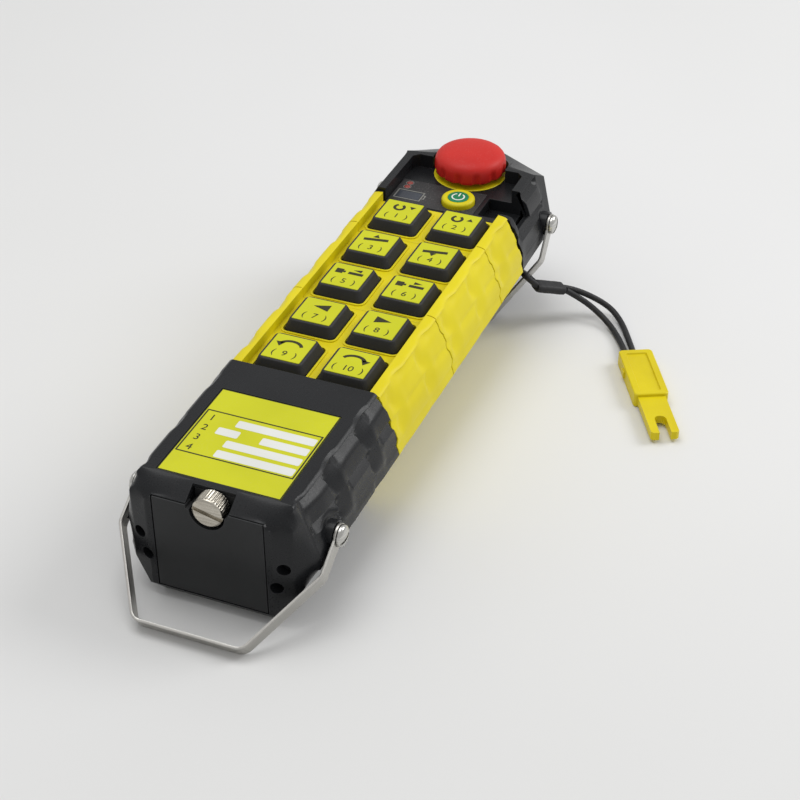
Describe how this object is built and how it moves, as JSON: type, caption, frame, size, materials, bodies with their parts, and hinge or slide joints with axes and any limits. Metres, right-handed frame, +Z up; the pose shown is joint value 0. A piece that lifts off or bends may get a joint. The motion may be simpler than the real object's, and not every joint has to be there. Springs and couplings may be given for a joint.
{
  "type": "handheld radio transmitter",
  "caption": "Long six-sided handheld remote with a two-column keypad, a mushroom stop button, strap bails at both ends and a safety key on a tether.",
  "frame": {"origin": "on the underside, in the middle plane, about mid-length", "axes": "+X to the right of the keypad, +Y along the body from the battery end to the stop-button end, +Z up out of the keypad"},
  "size_m": [0.1585, 0.2837, 0.0644],
  "materials": {
    "housing_black": "moulded, fine matt grain",
    "grip_yellow": "moulded, satin",
    "key_rubber": "matt",
    "label_yellow": "printed film, satin",
    "steel": "plain, lightly brushed",
    "stop_red": "moulded, semi-gloss",
    "ring_yellow": "moulded, satin",
    "disc_green": "printed",
    "lens_clear": "clear moulding",
    "sheet_dark": "printed film, matt",
    "board_green": "solder mask",
    "inner_black": "moulded",
    "tinned": "pressed sheet",
    "cell_wrap": "wrapped can",
    "contact_brass": "sprung sheet",
    "seal_rubber": "soft",
    "safety_yellow": "moulded, satin",
    "tether_black": "smooth cord"
  },
  "bodies": {
    "housing": {"near_cap": "housing_black", "far_cap": "housing_black", "grip_near": "grip_yellow", "grip_middle": "grip_yellow", "grip_far": "grip_yellow", "cap_gaskets": "seal_rubber", "main_board": "board_green", "key_switches": "inner_black", "board_tray": "inner_black", "radio_module": "tinned", "antenna": "inner_black", "bail_screws": "steel", "label_plate": "label_yellow", "near_cap_screws": "steel", "battery_sleeve": "inner_black", "battery_cells": "cell_wrap", "contact_board": "board_green", "panel_sheet": "sheet_dark", "indicator_lenses": "lens_clear", "battery_window": "lens_clear", "panel_board": "board_green", "power_switch": "inner_black", "stop_ring": "ring_yellow", "stop_nut": "inner_black", "stop_contacts": "inner_black"},
    "battery_door": {"battery_door": "housing_black", "door_gasket": "seal_rubber", "door_contacts": "contact_brass"},
    "thumb_screw": {"thumb_screw": "steel"},
    "power_button": {"power_button": "ring_yellow", "power_disc": "disc_green"},
    "stop_stem": {"stop_stem": "inner_black"},
    "stop_head": {"stop_head": "stop_red"},
    "near_bail": {"near_bail": "steel"},
    "far_bail": {"far_bail": "steel", "tether_loop": "tether_black", "tether_sleeve": "tether_black", "tether_strand_a": "tether_black", "tether_strand_b": "tether_black", "safety_key": "safety_yellow"},
    "key_1": {"key_1": "key_rubber", "key_label_1": "label_yellow"},
    "key_2": {"key_2": "key_rubber", "key_label_2": "label_yellow"},
    "key_3": {"key_3": "key_rubber", "key_label_3": "label_yellow"},
    "key_4": {"key_4": "key_rubber", "key_label_4": "label_yellow"},
    "key_5": {"key_5": "key_rubber", "key_label_5": "label_yellow"},
    "key_6": {"key_6": "key_rubber", "key_label_6": "label_yellow"},
    "key_7": {"key_7": "key_rubber", "key_label_7": "label_yellow"},
    "key_8": {"key_8": "key_rubber", "key_label_8": "label_yellow"},
    "key_9": {"key_9": "key_rubber", "key_label_9": "label_yellow"},
    "key_10": {"key_10": "key_rubber", "key_label_10": "label_yellow"}
  },
  "joints": [
    {"name": "key_1_press", "type": "slide", "parent": "housing", "child": "key_1", "axis": [0, 0, -1], "range_m": [0, 0.002], "stiffness_N_per_m": 350, "springref_m": -0.002},
    {"name": "key_2_press", "type": "slide", "parent": "housing", "child": "key_2", "axis": [0, 0, -1], "range_m": [0, 0.002], "stiffness_N_per_m": 350, "springref_m": -0.002},
    {"name": "key_3_press", "type": "slide", "parent": "housing", "child": "key_3", "axis": [0, 0, -1], "range_m": [0, 0.002], "stiffness_N_per_m": 350, "springref_m": -0.002},
    {"name": "key_4_press", "type": "slide", "parent": "housing", "child": "key_4", "axis": [0, 0, -1], "range_m": [0, 0.002], "stiffness_N_per_m": 350, "springref_m": -0.002},
    {"name": "key_5_press", "type": "slide", "parent": "housing", "child": "key_5", "axis": [0, 0, -1], "range_m": [0, 0.002], "stiffness_N_per_m": 350, "springref_m": -0.002},
    {"name": "key_6_press", "type": "slide", "parent": "housing", "child": "key_6", "axis": [0, 0, -1], "range_m": [0, 0.002], "stiffness_N_per_m": 350, "springref_m": -0.002},
    {"name": "key_7_press", "type": "slide", "parent": "housing", "child": "key_7", "axis": [0, 0, -1], "range_m": [0, 0.002], "stiffness_N_per_m": 350, "springref_m": -0.002},
    {"name": "key_8_press", "type": "slide", "parent": "housing", "child": "key_8", "axis": [0, 0, -1], "range_m": [0, 0.002], "stiffness_N_per_m": 350, "springref_m": -0.002},
    {"name": "key_9_press", "type": "slide", "parent": "housing", "child": "key_9", "axis": [0, 0, -1], "range_m": [0, 0.002], "stiffness_N_per_m": 350, "springref_m": -0.002},
    {"name": "key_10_press", "type": "slide", "parent": "housing", "child": "key_10", "axis": [0, 0, -1], "range_m": [0, 0.002], "stiffness_N_per_m": 350, "springref_m": -0.002},
    {"name": "power_press", "type": "slide", "parent": "housing", "child": "power_button", "axis": [0, 0, -1], "range_m": [0, 0.0012], "stiffness_N_per_m": 350, "springref_m": -0.002},
    {"name": "stop_press", "type": "slide", "parent": "housing", "child": "stop_stem", "axis": [0, 0, -1], "range_m": [0, 0.0018], "stiffness_N_per_m": 900, "springref_m": -0.003},
    {"name": "stop_twist", "type": "hinge", "parent": "stop_stem", "child": "stop_head", "pos_m": [0, 0.1122, 0.047], "axis": [0, 0, -1], "range_deg": [0, 40], "stiffness_Nm_per_rad": 0.01},
    {"name": "near_bail_swing", "type": "hinge", "parent": "housing", "child": "near_bail", "pos_m": [0, -0.10925, 0.0286], "axis": [1, 0, 0], "range_deg": [-165, 95]},
    {"name": "far_bail_swing", "type": "hinge", "parent": "housing", "child": "far_bail", "pos_m": [0, 0.1075, 0.0286], "axis": [1, 0, 0], "range_deg": [0, 150]},
    {"name": "door_pull", "type": "slide", "parent": "housing", "child": "battery_door", "axis": [0, -1, 0], "range_m": [0, 0.012]},
    {"name": "thumb_turn", "type": "hinge", "parent": "battery_door", "child": "thumb_screw", "pos_m": [0, -0.13025, 0.042], "axis": [0, 1, 0], "continuous": true}
  ]
}
